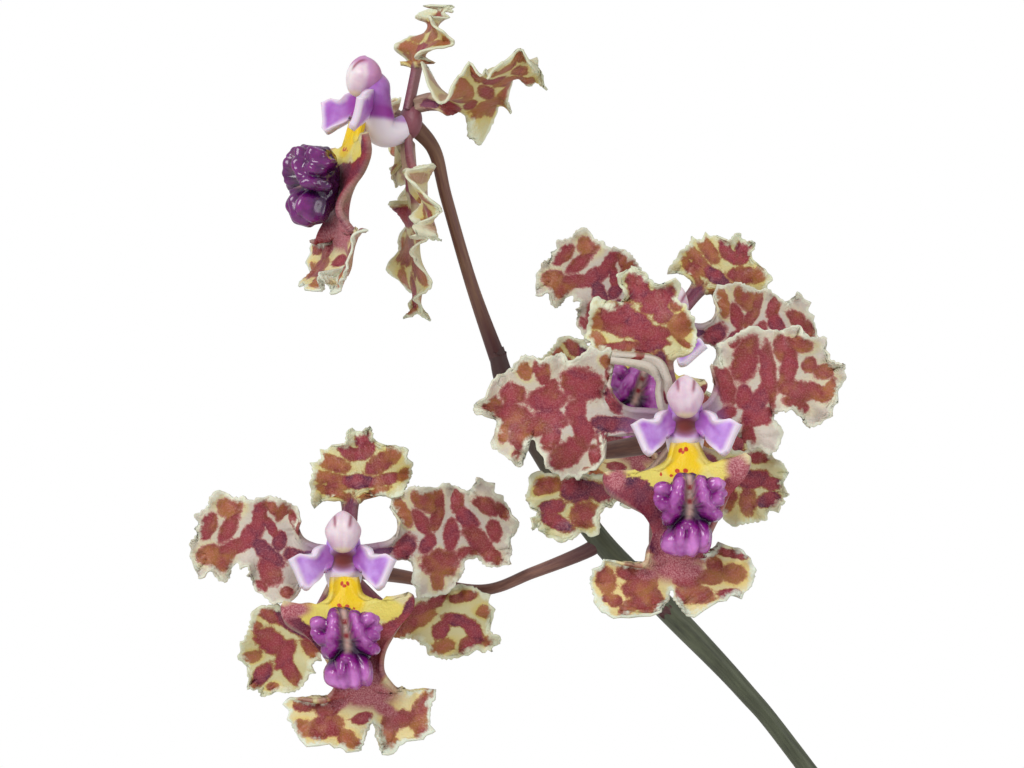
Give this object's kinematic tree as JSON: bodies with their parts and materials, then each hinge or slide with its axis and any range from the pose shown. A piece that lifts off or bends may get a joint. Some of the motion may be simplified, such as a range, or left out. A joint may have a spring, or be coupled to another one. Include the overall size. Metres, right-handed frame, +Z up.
{
  "type": "potted orchid",
  "caption": "Potted mule-ear orchid with stiff spotted leaves and an arching stem of crimson-blotched, ruffled blooms.",
  "frame": {"origin": "middle of the pot's base, on the surface it stands on", "axes": "+Z up along the pot and the flower stem; the blooms face -Y; the flower stem leans towards -X"},
  "size_m": [0.3302, 0.2005, 0.4495],
  "materials": {
    "petal": "satin, soft and finely grained",
    "lip": "satin, soft and finely grained",
    "callus": "glossy and waxy",
    "column": "satin, slightly sparkling",
    "anther": "satin, waxy",
    "pedicel": "satin, smooth green wood",
    "stem": "satin, smooth green wood",
    "leaf": "satin, waxy and tough",
    "pseudobulb": "satin, smooth",
    "root": "matt, papery",
    "bark_chips": "matt, rough",
    "clay": "matt, unglazed"
  },
  "bodies": {
    "root": {"pot": "clay", "bark": "bark_chips", "rhizome": "pseudobulb", "flower_stem": "stem", "back_anther_cap": "anther", "back_callus": "callus", "back_column": "column", "back_lip": "lip", "back_pedicel": "pedicel", "back_perianth": "petal", "front_anther_cap": "anther", "front_callus": "callus", "front_column": "column", "front_lip": "lip", "front_pedicel": "pedicel", "front_perianth": "petal", "leaf_1": "leaf", "leaf_2": "leaf", "leaf_3": "leaf", "leaf_4": "leaf", "leaf_5": "leaf", "lower_anther_cap": "anther", "lower_callus": "callus", "lower_column": "column", "lower_lip": "lip", "lower_pedicel": "pedicel", "lower_perianth": "petal", "root_1": "root", "root_2": "root", "root_3": "root", "root_4": "root", "upper_anther_cap": "anther", "upper_callus": "callus", "upper_column": "column", "upper_lip": "lip", "upper_pedicel": "pedicel", "upper_perianth": "petal"}
  },
  "joints": []
}
